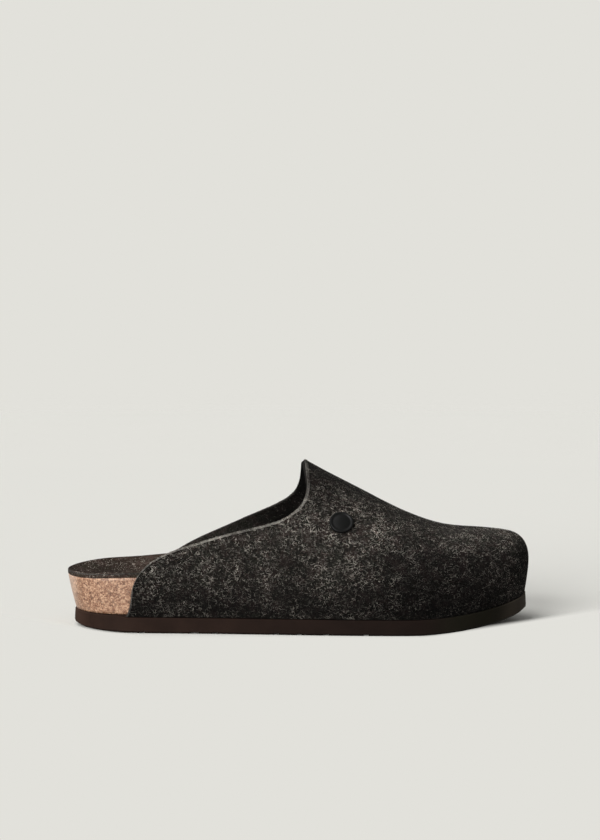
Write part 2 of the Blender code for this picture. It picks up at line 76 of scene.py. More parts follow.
class Wire:
    """A node's output socket that takes part in ordinary arithmetic."""

    def __init__(self, recipe: "Recipe", socket: bpy.types.NodeSocket) -> None:
        """Keep the socket and the tree it belongs to.

        Args:
            recipe: The builder that adds further nodes.
            socket: The output that this wire carries.
        """
        self.recipe = recipe
        self.socket = socket

    def _math(self, operation: str, first: Value, second: Value) -> "Wire":
        """Add one Math node.

        Args:
            operation: Name of the Math operation.
            first: First operand.
            second: Second operand.

        Returns:
            The result.
        """
        return self.recipe.node("ShaderNodeMath", {"operation": operation}, {0: first, 1: second})

    def __add__(self, other: Value) -> "Wire":
        """Sum."""
        return self._math("ADD", self, other)

    __radd__ = __add__

    def __mul__(self, other: Value) -> "Wire":
        """Product."""
        return self._math("MULTIPLY", self, other)

    __rmul__ = __mul__

    def __sub__(self, other: Value) -> "Wire":
        """Difference."""
        return self._math("SUBTRACT", self, other)

    def __rsub__(self, other: Value) -> "Wire":
        """Difference with the wire taken away."""
        return self._math("SUBTRACT", other, self)

    def __pow__(self, other: Value) -> "Wire":
        """Power."""
        return self._math("POWER", self, other)

    def __abs__(self) -> "Wire":
        """Size without its sign."""
        return self._math("ABSOLUTE", self, 0.0)

    def highest(self, other: Value) -> "Wire":
        """The larger of two values."""
        return self._math("MAXIMUM", self, other)

    def remap(
        self,
        low: float,
        high: float,
        to_low: float = 0.0,
        to_high: float = 1.0,
        curve: str = "SMOOTHSTEP",
    ) -> "Wire":
        """Ramp between two values, clamped at its ends.

        Args:
            low: Value where the ramp starts.
            high: Value where the ramp ends.
            to_low: Result at the start.
            to_high: Result at the end.
            curve: Blender's name of the ramp's shape.

        Returns:
            The result.
        """
        sockets = {
            "Value": self,
            "From Min": low,
            "From Max": high,
            "To Min": to_low,
            "To Max": to_high,
        }
        return self.recipe.node("ShaderNodeMapRange", {"interpolation_type": curve}, sockets)


class Recipe:
    """Builds the nodes of one material, or of the studio's world."""

    def __init__(self, owner: bpy.types.Material | bpy.types.World) -> None:
        """Open the node tree.

        Args:
            owner: The new material or world.
        """
        owner.use_nodes = True
        self.owner = owner
        self.tree = owner.node_tree

    def node(
        self,
        kind: str,
        settings: dict[str, Any] | None = None,
        sockets: dict[Any, Any] | None = None,
        output: int | str = 0,
    ) -> Wire:
        """Add a node.

        Args:
            kind: Blender's type name of the node.
            settings: Properties, set before the sockets.
            sockets: Values or wires by input name or number.
            output: Output that the returned wire carries.

        Returns:
            The chosen output.
        """
        made = self.tree.nodes.new(kind)
        for key, value in (settings or {}).items():
            if key == "ramp":
                self._fill_ramp(made.color_ramp, value)
            else:
                setattr(made, key, value)
        for key, value in (sockets or {}).items():
            self.plug(made.inputs[key], value)
        return Wire(self, made.outputs[output])

    def _fill_ramp(self, ramp: bpy.types.ColorRamp, stops: Sequence[tuple[float, Colour]]) -> None:
        """Set the stops of a colour ramp.

        Args:
            ramp: The ramp.
            stops: Place and colour of each stop.
        """
        while len(ramp.elements) < len(stops):
            ramp.elements.new(1.0)
        for element, (place, colour) in zip(ramp.elements, stops):
            element.position = place
            element.color = (*colour, 1.0)

    def plug(self, target: bpy.types.NodeSocket, value: Any) -> None:
        """Link a wire to a socket, or set a plain value on it.

        Args:
            target: The input socket.
            value: A wire, number, colour or vector.
        """
        if isinstance(value, Wire):
            self.tree.links.new(value.socket, target)
        elif target.type == "RGBA" and len(value) == 3:
            target.default_value = (*value, 1.0)
        else:
            target.default_value = value

    def millimetres(self) -> Wire:
        """Object coordinates in millimetres."""
        place = self.node("ShaderNodeTexCoord", output="Object")
        sockets = {0: place, "Scale": 1.0 / MM}
        return self.node("ShaderNodeVectorMath", {"operation": "SCALE"}, sockets)

    def shifted(self, place: Wire, shift: Place) -> Wire:
        """Coordinates moved by a fixed step.

        Args:
            place: The coordinates.
            shift: The step.

        Returns:
            The moved coordinates.
        """
        return self.node("ShaderNodeVectorMath", {"operation": "ADD"}, {0: place, 1: shift})

    def axis(self, place: Wire, name: str) -> Wire:
        """One coordinate.

        Args:
            place: The coordinates.
            name: X, Y or Z.

        Returns:
            The coordinate.
        """
        return self.node("ShaderNodeSeparateXYZ", {}, {0: place}, output=name)

    def cells(self, place: Wire, scale: float, channel: int) -> Wire:
        """A random value for each cell of a packing.

        Args:
            place: Coordinates in millimetres.
            scale: Cells per millimetre.
            channel: Which of three random values.

        Returns:
            The value.
        """
        sockets = {"Vector": place, "Scale": scale}
        picked = self.node("ShaderNodeTexVoronoi", {}, sockets, output="Color")
        return self.node("ShaderNodeSeparateColor", {}, {0: picked}, output=channel)

    def blend(self, factor: Value, first: Any, second: Any, mode: str = "MIX") -> Wire:
        """Mix two colours.

        Args:
            factor: Share of the second.
            first: First colour or wire.
            second: Second colour or wire.
            mode: Blender's blend mode.

        Returns:
            The mixed colour.
        """
        settings = {"data_type": "RGBA", "blend_type": mode}
        return self.node("ShaderNodeMix", settings, {0: factor, 6: first, 7: second}, output=2)

    def bump(self, height: Wire, distance: float) -> Wire:
        """Normal from a height.

        Args:
            height: Height from 0 to 1.
            distance: Height of 1 in metres.

        Returns:
            The normal.
        """
        return self.node("ShaderNodeBump", {}, {"Height": height, "Distance": distance})

    def finish(self, **sockets: Any) -> bpy.types.Material:
        """Set the sockets of the material's own shader.

        Args:
            **sockets: Values or wires by socket name, with underscores for spaces.

        Returns:
            The finished material.
        """
        shader = self.tree.nodes["Principled BSDF"]
        for key, value in sockets.items():
            self.plug(shader.inputs[key.replace("_", " ")], value)
        return self.owner


@dataclass(frozen=True)
class Noise:
    """One layer of noise, between about 0.2 and 0.8, with its scale in cells per millimetre."""

    scale: float
    detail: float = 2.0
    roughness: float = 0.5
    distortion: float = 0.0
    shift: Place | None = None

    def over(self, recipe: Recipe, place: Wire, output: int | str = 0) -> Wire:
        """Lay the noise over coordinates.

        Args:
            recipe: The material's builder.
            place: Coordinates in millimetres.
            output: Output of the noise, the value unless named.

        Returns:
            The noise.
        """
        sockets = {
            "Vector": place if self.shift is None else recipe.shifted(place, self.shift),
            "Scale": self.scale,
            "Detail": self.detail,
            "Roughness": self.roughness,
            "Distortion": self.distortion,
        }
        return recipe.node("ShaderNodeTexNoise", {}, sockets, output)


# Finishes


@dataclass(frozen=True)
class FeltPaintedShading:
    """Painted shade on the felt, darkest along the sole, beside the ball of the foot and at the
    peak, with painted light at the toe's tip and a random cloud of lighter and darker felt.

    Places are in millimetres. A ramp is its start, its end, and its value at both.
    """

    # Painted shade low down, at the crest and on the flank, and painted light at the toe's tip
    low: Ramp = (8.0, 60.0, 0.40, 1.25)
    crest: Ramp = (58.0, 90.0, 1.0, 0.50)
    flank_depth: float = 0.57
    flank_along: Span = (12.0, 72.0)
    flank_up: Span = (58.0, 42.0)
    tip_along: Span = (112.0, 134.0)
    tip_gain: float = 0.5
    tip_foot_gain: float = 3.4
    tip_foot_up: Span = (36.0, 20.0)
    # Random lighter and darker felt
    cloud: Noise = Noise(0.035, distortion=0.3, shift=(71.0, 13.0, 29.0))
    cloud_ramp: Ramp = (0.35, 0.65, 0.86, 1.16)

    def over(self, recipe: Recipe, place: Wire) -> Wire:
        """Work out the painted light and shade.

        Args:
            recipe: The material's builder.
            place: Coordinates in millimetres.

        Returns:
            A factor near 1.
        """
        along, up = recipe.axis(place, "X"), recipe.axis(place, "Z")
        low = up.remap(*self.low)
        crest = up.remap(*self.crest)
        flank = 1.0 - self.flank_depth * along.remap(*self.flank_along) * up.remap(*self.flank_up)
        foot = self.tip_gain + self.tip_foot_gain * up.remap(*self.tip_foot_up)
        tip = 1.0 + along.remap(*self.tip_along) * foot
        cloud = self.cloud.over(recipe, place).remap(*self.cloud_ramp)
        # low, crest and flank are painted shade, tip is painted light, cloud is random
        return low * crest * flank * tip * cloud


@dataclass(frozen=True)
class FeltStrands:
    """Short curled strands, where a warped noise crosses its middle value."""

    scale: float
    half_width: float
    shift: Place
    piece_scale: float = 1.3
    piece_ramp: Span = (0.47, 0.60)

    def over(self, recipe: Recipe, place: Wire) -> Wire:
        """Draw the strands.

        Args:
            recipe: The material's builder.
            place: Coordinates in millimetres.

        Returns:
            1 on a strand and 0 beside it.
        """
        moved = recipe.shifted(place, self.shift)
        wave = Noise(self.scale, 1.5, 0.45, 0.9).over(recipe, moved)
        line = abs(wave - 0.5).remap(0.0, self.half_width, 1.0, 0.0)
        piece = Noise(self.scale * self.piece_scale, 1.0).over(recipe, moved)
        return line * piece.remap(*self.piece_ramp)


@dataclass(frozen=True)
class FeltFinish:
    """Pressed wool felt with mixed dark and pale wool, under painted light and shade."""

    name: str
    dark: Colour = (0.0080, 0.0073, 0.0058)
    warm: Colour = (0.0195, 0.0134, 0.0118)
    green: Colour = (0.0095, 0.0098, 0.0070)
    pale: Colour = (0.1250, 0.1150, 0.1030)
    pale_share: float = 0.45
    gain: float = 0.72
    # Painted light towards the back: its gain there and where it ramps in
    painted_light_back_gain: float = 1.0
    painted_light_back_span: Span = (-62.0, -5.0)
    tone: FeltPaintedShading = FeltPaintedShading()
    cloud: Noise = Noise(0.055)
    cloud_ramp: Span = (0.38, 0.64)
    patch: Noise = Noise(0.16, 2.0, 0.55, 0.4, (31.0, 7.0, 3.0))
    warm_ramp: Span = (0.50, 0.66)
    green_ramp: Span = (0.46, 0.32)
    green_share: float = 0.9
    grain: Noise = Noise(1.15, 4.0, 0.65, 0.5)
    grain_ramp: Span = (0.45, 0.75)
    grain_share: float = 0.22
    fine: FeltStrands = FeltStrands(0.75, 0.040, (5.0, 1.0, 9.0))
    coarse: FeltStrands = FeltStrands(0.45, 0.024, (17.0, 23.0, 2.0))
    short: FeltStrands = FeltStrands(1.20, 0.060, (2.0, 41.0, 13.0))
    short_share: float = 0.7
    strand_floor: float = 0.35
    strand_relief: float = 0.55
    grain_relief: float = 0.8
    relief: float = 0.34 * MM
    roughness: float = 0.95
    sheen: float = 0.012
    sheen_roughness: float = 0.55
    specular: float = 0.05

    def build(self) -> bpy.types.Material:
        """Make the material.

        Returns:
            The felt.
        """
        recipe = Recipe(bpy.data.materials.new(self.name))
        place = recipe.millimetres()
        cloud = self.cloud.over(recipe, place).remap(*self.cloud_ramp)
        patch = self.patch.over(recipe, place)
        grain = self.grain.over(recipe, place)
        fine, coarse, short = (
            strands.over(recipe, place) for strands in (self.fine, self.coarse, self.short)
        )
        ground = recipe.blend(patch.remap(*self.warm_ramp), self.dark, self.warm)
        green = patch.remap(*self.green_ramp) * self.green_share
        ground = recipe.blend(green, ground, self.green)
        pale = grain.remap(*self.grain_ramp) * self.grain_share
        ground = recipe.blend(pale, ground, self.pale)
        strands = fine.highest(coarse).highest(short * self.short_share)
        crowd = self.strand_floor + (1.0 - self.strand_floor) * cloud
        amount = strands * crowd * self.pale_share
        # Painted light and shade: the felt's painted shading, times the painted light towards the
        # back
        back = recipe.axis(place, "X").remap(*self.painted_light_back_span, self.painted_light_back_gain, 1.0)
        tone = self.tone.over(recipe, place) * back * self.gain
        colour = recipe.blend(1.0, recipe.blend(amount, ground, self.pale), tone, "MULTIPLY")
        height = strands * self.strand_relief + grain * self.grain_relief
        return recipe.finish(
            Base_Color=colour,
            Roughness=self.roughness,
            Normal=recipe.bump(height, self.relief),
            Sheen_Weight=self.sheen,
            Sheen_Roughness=self.sheen_roughness,
            Specular_IOR_Level=self.specular,
        )


@dataclass(frozen=True)
class FibreFinish:
    """Loose wool of one colour."""

    name: str
    colour: Colour
    tone: FeltPaintedShading = FeltPaintedShading()
    strand: Noise = Noise(0.4)
    strand_ramp: Ramp = (0.3, 0.7, 0.45, 1.35)
    cluster: Noise = Noise(0.10, 2.0, 0.6, 0.5, (9.0, 3.0, 51.0))
    cluster_ramp: Ramp = (0.36, 0.62, 0.42, 1.28)
    roughness: float = 0.9
    specular: float = 0.08

    def build(self) -> bpy.types.Material:
        """Make the material.

        Returns:
            The wool.
        """
        recipe = Recipe(bpy.data.materials.new(self.name))
        place = recipe.millimetres()
        strand = self.strand.over(recipe, place).remap(*self.strand_ramp)
        cluster = self.cluster.over(recipe, place).remap(*self.cluster_ramp)
        # The wool carries the felt's painted light and shade as well
        tone = strand * cluster * self.tone.over(recipe, place)
        return recipe.finish(
            Base_Color=recipe.blend(1.0, self.colour, tone, "MULTIPLY"),
            Roughness=self.roughness,
            Specular_IOR_Level=self.specular,
        )


@dataclass(frozen=True)
class CorkFinish:
    """Pressed cork granules under a thin clear seal, with a pale painted sheen at the back."""

    name: str
    granule: float = 0.80
    crumb: float = 2.3
    light: Colour = (0.640, 0.400, 0.255)
    middle: Colour = (0.400, 0.208, 0.120)
    deep: Colour = (0.165, 0.072, 0.038)
    speck: Colour = (0.110, 0.055, 0.035)
    painted_sheen: Colour = (0.760, 0.600, 0.480)
    stops: tuple[float, float, float] = (0.17, 0.48, 0.80)
    granule_share: float = 0.55
    crumb_share: float = 0.50
    grain_share: float = 0.7
    warp: Noise = Noise(0.9)
    warp_reach: Place = (0.9, 0.9, 0.9)
    grain: Noise = Noise(1.5, 3.0, 0.65)
    speck_ramp: Span = (0.90, 0.93)
    speck_grain: Span = (0.35, 0.55)
    speck_share: float = 0.7
    joint_ramp: Ramp = (0.010, 0.090, 1.0, 0.0)
    joint_share: float = 0.45
    # Pale painted sheen and painted light on the back end of the cork
    painted_light_back_span: Span = (-130.0, -136.5)
    painted_sheen_share: float = 0.38
    painted_light_back_gain: float = 0.30
    joint_width: float = 0.16
    joint_relief: float = 0.6
    grain_relief: float = 0.5
    speck_relief: float = 0.4
    relief: float = 0.18 * MM
    roughness: Ramp = (0.3, 0.7, 0.42, 0.62)
    seal: float = 0.45
    seal_roughness: float = 0.30

    def build(self) -> bpy.types.Material:
        """Make the material.

        Returns:
            The cork.
        """
        recipe = Recipe(bpy.data.materials.new(self.name))
        place = recipe.millimetres()
        warp = self.warp.over(recipe, place, "Color")
        settings = {"operation": "MULTIPLY_ADD"}
        sockets = {0: warp, 1: self.warp_reach, 2: place}
        bent = recipe.node("ShaderNodeVectorMath", settings, sockets)
        pick = recipe.cells(bent, self.granule, 0)
        other = recipe.cells(bent, self.granule, 1)
        crumb = recipe.cells(bent, self.granule * self.crumb, 2)
        settings = {"feature": "DISTANCE_TO_EDGE"}
        sockets = {"Vector": bent, "Scale": self.granule}
        seam = recipe.node("ShaderNodeTexVoronoi", settings, sockets)
        grain = self.grain.over(recipe, place)
        shade = pick * self.granule_share + crumb * self.crumb_share
        shade = shade + (grain - 0.5) * self.grain_share
        stops = list(zip(self.stops, (self.deep, self.middle, self.light)))
        tone = recipe.node("ShaderNodeValToRGB", {"ramp": stops}, {0: shade})
        dark = other.remap(*self.speck_ramp) * grain.remap(*self.speck_grain)
        tone = recipe.blend(dark * self.speck_share, tone, self.speck)
        tone = recipe.blend(seam.remap(*self.joint_ramp) * self.joint_share, tone, self.deep)
        # Painted sheen: the back end is blended towards a pale colour and lightened
        back = recipe.axis(place, "X").remap(*self.painted_light_back_span)
        tone = recipe.blend(back * self.painted_sheen_share, tone, self.painted_sheen)
        tone = recipe.blend(1.0, tone, back * self.painted_light_back_gain + 1.0, "MULTIPLY")
        height = seam.remap(0.0, self.joint_width) * self.joint_relief
        height = height + grain * self.grain_relief - dark * self.speck_relief
        return recipe.finish(
            Base_Color=tone,
            Roughness=grain.remap(*self.roughness),
            Normal=recipe.bump(height, self.relief),
            Coat_Weight=self.seal,
            Coat_Roughness=self.seal_roughness,
        )


@dataclass(frozen=True)
class RubberFinish:
    """Matte foamed rubber with a faint moulded grain, darkest beside the ball of the foot,
    under painted light that is strongest at the heel and falls off towards the toe.
    """

    name: str
    colour: Colour = (0.0125, 0.0066, 0.0046)
    ball: Colour = (0.0066, 0.0057, 0.0032)
    toe: Colour = (0.0720, 0.0580, 0.0440)
    # Painted light along the sole, falling off towards the toe, and brighter still at the heel's
    # end
    painted_light_falloff: Ramp = (-130.0, 70.0, 1.75, 0.70)
    heel: Ramp = (-121.0, -134.0, 1.0, 1.8)
    ball_span: Span = (70.0, 95.0)
    toe_span: Span = (108.0, 136.0)
    toe_power: float = 2.0
    cloud: Noise = Noise(0.06, 3.0, 0.55)
    cloud_ramp: Ramp = (0.3, 0.7, 0.82, 1.15)
    grain: Noise = Noise(2.6, 3.0, 0.6)
    relief: float = 0.06 * MM
    roughness: Ramp = (0.3, 0.7, 0.66, 0.80)
    specular: float = 0.08

    def build(self) -> bpy.types.Material:
        """Make the material.

        Returns:
            The rubber.
        """
        recipe = Recipe(bpy.data.materials.new(self.name))
        place = recipe.millimetres()
        cloud = self.cloud.over(recipe, place).remap(*self.cloud_ramp)
        grain = self.grain.over(recipe, place)
        along = recipe.axis(place, "X")
        # Painted light: brightest at the heel, falling off towards the toe
        painted_light_falloff = along.remap(*self.painted_light_falloff) * along.remap(*self.heel)
        ground = recipe.blend(1.0, self.colour, painted_light_falloff, "MULTIPLY")
        ground = recipe.blend(along.remap(*self.ball_span), ground, self.ball)
        ground = recipe.blend(along.remap(*self.toe_span) ** self.toe_power, ground, self.toe)
        return recipe.finish(
            Base_Color=recipe.blend(1.0, ground, cloud, "MULTIPLY"),
            Roughness=grain.remap(*self.roughness),
            Normal=recipe.bump(grain, self.relief),
            Specular_IOR_Level=self.specular,
        )


@dataclass(frozen=True)
class CapFinish:
    """Black moulded plastic with a soft polish."""

    name: str
    colour: Colour = (0.0035, 0.0036, 0.0035)
    grain: Noise = Noise(1.8)
    relief: float = 0.02 * MM
    roughness: Ramp = (0.3, 0.7, 0.34, 0.44)
    specular: float = 0.14

    def build(self) -> bpy.types.Material:
        """Make the material.

        Returns:
            The plastic.
        """
        recipe = Recipe(bpy.data.materials.new(self.name))
        grain = self.grain.over(recipe, recipe.millimetres())
        return recipe.finish(
            Base_Color=self.colour,
            Roughness=grain.remap(*self.roughness),
            Normal=recipe.bump(grain, self.relief),
            Specular_IOR_Level=self.specular,
        )


# Shapes


class Skin(Enum):
    """Material slots of the felt shell, by the face that they dress."""

    OUTSIDE = 0
    INSIDE = 1
    CUT_EDGE = 2
    CORNER = 3
    FOOT = 4


def regions_of(bm: bmesh.types.BMesh, angle: float) -> list[list[bmesh.types.BMFace]]:
    """Groups of faces that are parted by sharp edges, largest area first.

    Args:
        bm: A merged mesh.
        angle: Angle in degrees above which an edge parts two groups.

    Returns:
        The groups.
    """
    limit = math.radians(angle)
    seen: set[bmesh.types.BMFace] = set()
    groups: list[list[bmesh.types.BMFace]] = []
    for start in bm.faces:
        if start in seen:
            continue
        seen.add(start)
        group, wave = [], [start]
        while wave:
            face = wave.pop()
            group.append(face)
            for edge in face.edges:
                if len(edge.link_faces) != 2 or edge.calc_face_angle(0.0) > limit:
                    continue
                for other in edge.link_faces:
                    if other not in seen:
                        seen.add(other)
                        wave.append(other)
        groups.append(group)
    groups.sort(key=lambda group: -sum(face.calc_area() for face in group))
    return groups


def merged_copy(node: str) -> bmesh.types.BMesh:
    """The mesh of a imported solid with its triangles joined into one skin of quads.

    Args:
        node: Name of the solid.

    Returns:
        The new mesh.
    """
    bm = bmesh.new()
    bm.from_mesh(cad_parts[node].data)
    bmesh.ops.remove_doubles(bm, verts=bm.verts, dist=MERGE_DISTANCE)
    bmesh.ops.dissolve_degenerate(bm, edges=bm.edges, dist=MERGE_DISTANCE)
    bmesh.ops.join_triangles(
        bm,
        faces=bm.faces,
        angle_face_threshold=math.radians(JOIN_BEND),
        angle_shape_threshold=math.radians(JOIN_SKEW),
    )
    bm.normal_update()
    return bm


def soften(
    bm: bmesh.types.BMesh, angle: float, slot: int, width: float, segments: int
) -> list[bmesh.types.BMFace]:
    """Round the edges beside one material that are sharper than an angle.

    Args:
        bm: The mesh.
        angle: Angle in degrees.
        slot: Material slot on one side of the edges.
        width: Width of the rounding in metres.
        segments: Faces across the rounding.

    Returns:
        The faces of the rounding.
    """
    sharp = [
        edge
        for edge in bm.edges
        if len(edge.link_faces) == 2
        and edge.calc_face_angle(0.0) > math.radians(angle)
        and any(face.material_index == slot for face in edge.link_faces)
    ]
    made = bmesh.ops.bevel(
        bm,
        geom=sharp,
        offset=width,
        offset_type="OFFSET",
        segments=segments,
        profile=0.5,
        affect="EDGES",
        clamp_overlap=True,
        material=-1,
    )
    return made["faces"]


def keep_sharp(bm: bmesh.types.BMesh, angle: float) -> None:
    """Give sharp edges a full crease, so that subdivision leaves them where they are.

    Args:
        bm: The mesh.
        angle: Angle in degrees.
    """
    layer = bm.edges.layers.float.new("crease_edge")
    for edge in bm.edges:
        if len(edge.link_faces) == 2 and edge.calc_face_angle(0.0) > math.radians(angle):
            edge[layer] = 1.0


def as_object(
    name: str, bm: bmesh.types.BMesh, finishes: Sequence[bpy.types.Material]
) -> bpy.types.Object:
    """Turn a mesh into a smooth-shaded object of the scene.

    Args:
        name: Name of the object.
        bm: The mesh, which is freed.
        finishes: Materials in slot order.

    Returns:
        The object.
    """
    mesh = bpy.data.meshes.new(name)
    bm.to_mesh(mesh)
    bm.free()
    for finish in finishes:
        mesh.materials.append(finish)
    mesh.shade_smooth()
    made = bpy.data.objects.new(name, mesh)
    bpy.context.scene.collection.objects.link(made)
    return made


def subdivide(piece: bpy.types.Object, levels: int) -> None:
    """Add a subdivision surface that looks the same in the view and in the render.

    Args:
        piece: The object.
        levels: Number of subdivisions.
    """
    smooth = piece.modifiers.new("smooth", "SUBSURF")
    smooth.levels = levels
    smooth.render_levels = levels


def settle(piece: bpy.types.Object, slot: str, *nodes: str) -> None:
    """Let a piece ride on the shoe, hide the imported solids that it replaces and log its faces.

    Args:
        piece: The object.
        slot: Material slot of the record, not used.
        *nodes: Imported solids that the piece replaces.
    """
    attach(piece, BODY)
    if nodes:
        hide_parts(*nodes)
    LOG.info("%s: %d faces", piece.name, len(piece.data.polygons))


@dataclass(frozen=True)
class WoolField:
    """Loose wool fibres spread over chosen faces of a piece, as flat ribbons.

    A fibre bends by about `curl` radians, with the share `sway` of that in an S, and turns the
    more to the horizontal, the larger `level` is. It lies at its ends and rises between them by
    its lift, the more evenly, the smaller `arch` is.
    """

    name: str
    count: int
    length: Span
    width: Span
    lift: Span
    curl: float
    seed: int
    slots: tuple[int, ...] = (0,)
    steps: int = 5
    level: float = 1.5
    sway: float = 0.8
    arch: float = 0.7
    clearance: float = 0.03 * MM
    taper: Span = (0.12, 0.88)
    taper_power: float = 0.5

    def faces(self, source: bpy.types.Object) -> tuple[np.ndarray, np.ndarray]:
        """Triangles of the chosen faces of the finished piece.

        Args:
            source: The piece.

        Returns:
            Corner points of the triangles, and their unit normals.
        """
        graph = bpy.context.evaluated_depsgraph_get()
        mesh = source.evaluated_get(graph).to_mesh()
        mesh.calc_loop_triangles()
        points = np.empty(len(mesh.vertices) * 3)
        mesh.vertices.foreach_get("co", points)
        points = points.reshape(-1, 3)
        corners = np.empty(len(mesh.loop_triangles) * 3, dtype=np.int64)
        mesh.loop_triangles.foreach_get("vertices", corners)
        slots = np.empty(len(mesh.loop_triangles), dtype=np.int64)
        mesh.loop_triangles.foreach_get("material_index", slots)
        triangles = points[corners.reshape(-1, 3)[np.isin(slots, self.slots)]]
        normals = np.cross(triangles[:, 1] - triangles[:, 0], triangles[:, 2] - triangles[:, 0])
        lengths = np.linalg.norm(normals, axis=1)
        good = lengths > NO_AREA
        return triangles[good], normals[good] / lengths[good, None]

    def stops(self) -> np.ndarray:
        """Places along a fibre, from -0.5 to 0.5."""
        return np.linspace(-0.5, 0.5, self.steps + 1)

    def middles(
        self, rng: np.random.Generator, triangles: np.ndarray, normals: np.ndarray
    ) -> tuple[np.ndarray, np.ndarray]:
        """Random middle points of the fibres, spread evenly over the area.

        Args:
            rng: The random numbers.
            triangles: Corner points of the chosen faces.
            normals: Their unit normals.

        Returns:
            The points, and the normals there.
        """
        first, second = triangles[:, 1] - triangles[:, 0], triangles[:, 2] - triangles[:, 0]
        area = np.linalg.norm(np.cross(first, second), axis=1)
        pick = rng.choice(len(triangles), self.count, p=area / area.sum())
        a, b = rng.random((2, self.count))
        a, b = np.where(a + b > 1, 1 - a, a), np.where(a + b > 1, 1 - b, b)
        middle = triangles[pick, 0] + a[:, None] * first[pick] + b[:, None] * second[pick]
        return middle, normals[pick]

    def curls(
        self, rng: np.random.Generator, middle: np.ndarray, normal: np.ndarray
    ) -> tuple[np.ndarray, np.ndarray, np.ndarray]:
        """Curled lines through the middle points, each in the plane of its face.

        Args:
            rng: The random numbers.
            middle: Middle point of each fibre.
            normal: Normal of the piece there.

        Returns:
            Points of each line, its width and its lift.
        """
        turn = rng.normal(size=(self.count, 3)) * (1.0, 1.0, self.level)
        along = np.cross(normal, turn)
        along /= np.linalg.norm(along, axis=1)[:, None]
        side = np.cross(normal, along)
        length = rng.uniform(*self.length, self.count)
        width = rng.uniform(*self.width, self.count)
        lift = rng.uniform(*self.lift, self.count)
        bend = rng.normal(0.0, self.curl, self.count)
        sway = rng.normal(0.0, self.curl * self.sway, self.count)
        stops = self.stops()
        heading = bend[:, None] * stops + sway[:, None] * np.sin(2 * math.pi * stops)
        step = (length / self.steps)[:, None]
        x = np.cumsum(np.cos(heading), axis=1) * step
        y = np.cumsum(np.sin(heading), axis=1) * step
        x -= x.mean(axis=1)[:, None]
        y -= y.mean(axis=1)[:, None]
        lines = middle[:, None] + x[..., None] * along[:, None] + y[..., None] * side[:, None]
        return lines, width, lift

    def spread(self, source: bpy.types.Object) -> bpy.types.Mesh:
        """Lay the fibres on the piece.

        Args:
            source: The piece.

        Returns:
            One mesh with all the ribbons.
        """
        rng = np.random.default_rng(self.seed)
        triangles, normals = self.faces(source)
        tree = BVHTree.FromPolygons(
            [Vector(point) for point in triangles.reshape(-1, 3)],
            [(3 * i, 3 * i + 1, 3 * i + 2) for i in range(len(triangles))],
        )
        lines, width, lift = self.curls(rng, *self.middles(rng, triangles, normals))
        points, outward = np.empty_like(lines), np.empty_like(lines)
        for place in np.ndindex(lines.shape[:2]):
            points[place], outward[place], _, _ = tree.find_nearest(Vector(lines[place]))
        arch = np.cos(math.pi * self.stops()) ** self.arch
        points += outward * (lift[:, None] * arch + self.clearance)[..., None]
        return self.ribbons(points, outward, width)

    def ribbons(self, points: np.ndarray, outward: np.ndarray, width: np.ndarray) -> bpy.types.Mesh:
        """Flat ribbons along lines of points.

        Args:
            points: Lines, one per fibre.
            outward: Normal of the piece at each point.
            width: Width of each fibre.

        Returns:
            One mesh with all the ribbons.
        """
        tangent = np.gradient(points, axis=1)
        across = np.cross(tangent, outward)
        across /= np.linalg.norm(across, axis=2)[..., None] + NO_LENGTH
        taper = np.sin(np.linspace(*self.taper, self.steps + 1) * math.pi) ** self.taper_power
        half = 0.5 * width[:, None, None] * taper[None, :, None]
        verts = np.stack((points - across * half, points + across * half), axis=2).reshape(-1, 3)
        rows = self.steps + 1
        base = (np.arange(self.count) * rows * 2)[:, None] + (np.arange(self.steps) * 2)[None, :]
        quads = np.stack((base, base + 1, base + 3, base + 2), axis=2).reshape(-1, 4)
        mesh = bpy.data.meshes.new(self.name)
        mesh.vertices.add(len(verts))
        mesh.vertices.foreach_set("co", verts.ravel())
        mesh.loops.add(quads.size)
        mesh.loops.foreach_set("vertex_index", quads.ravel())
        mesh.polygons.add(len(quads))
        mesh.polygons.foreach_set("loop_start", np.arange(0, quads.size, 4))
        mesh.update(calc_edges=True)
        mesh.validate()
        return mesh

    def lay(self, source: bpy.types.Object, finish: bpy.types.Material, slot: str) -> None:
        """Lay the fibres and add them to the scene.

        Args:
            source: The piece that carries them.
            finish: Their material.
            slot: Material slot of the record.
        """
        mesh = self.spread(source)
        mesh.materials.append(finish)
        mesh.shade_smooth()
        made = bpy.data.objects.new(self.name, mesh)
        bpy.context.scene.collection.objects.link(made)
        settle(made, slot)


# The shoe


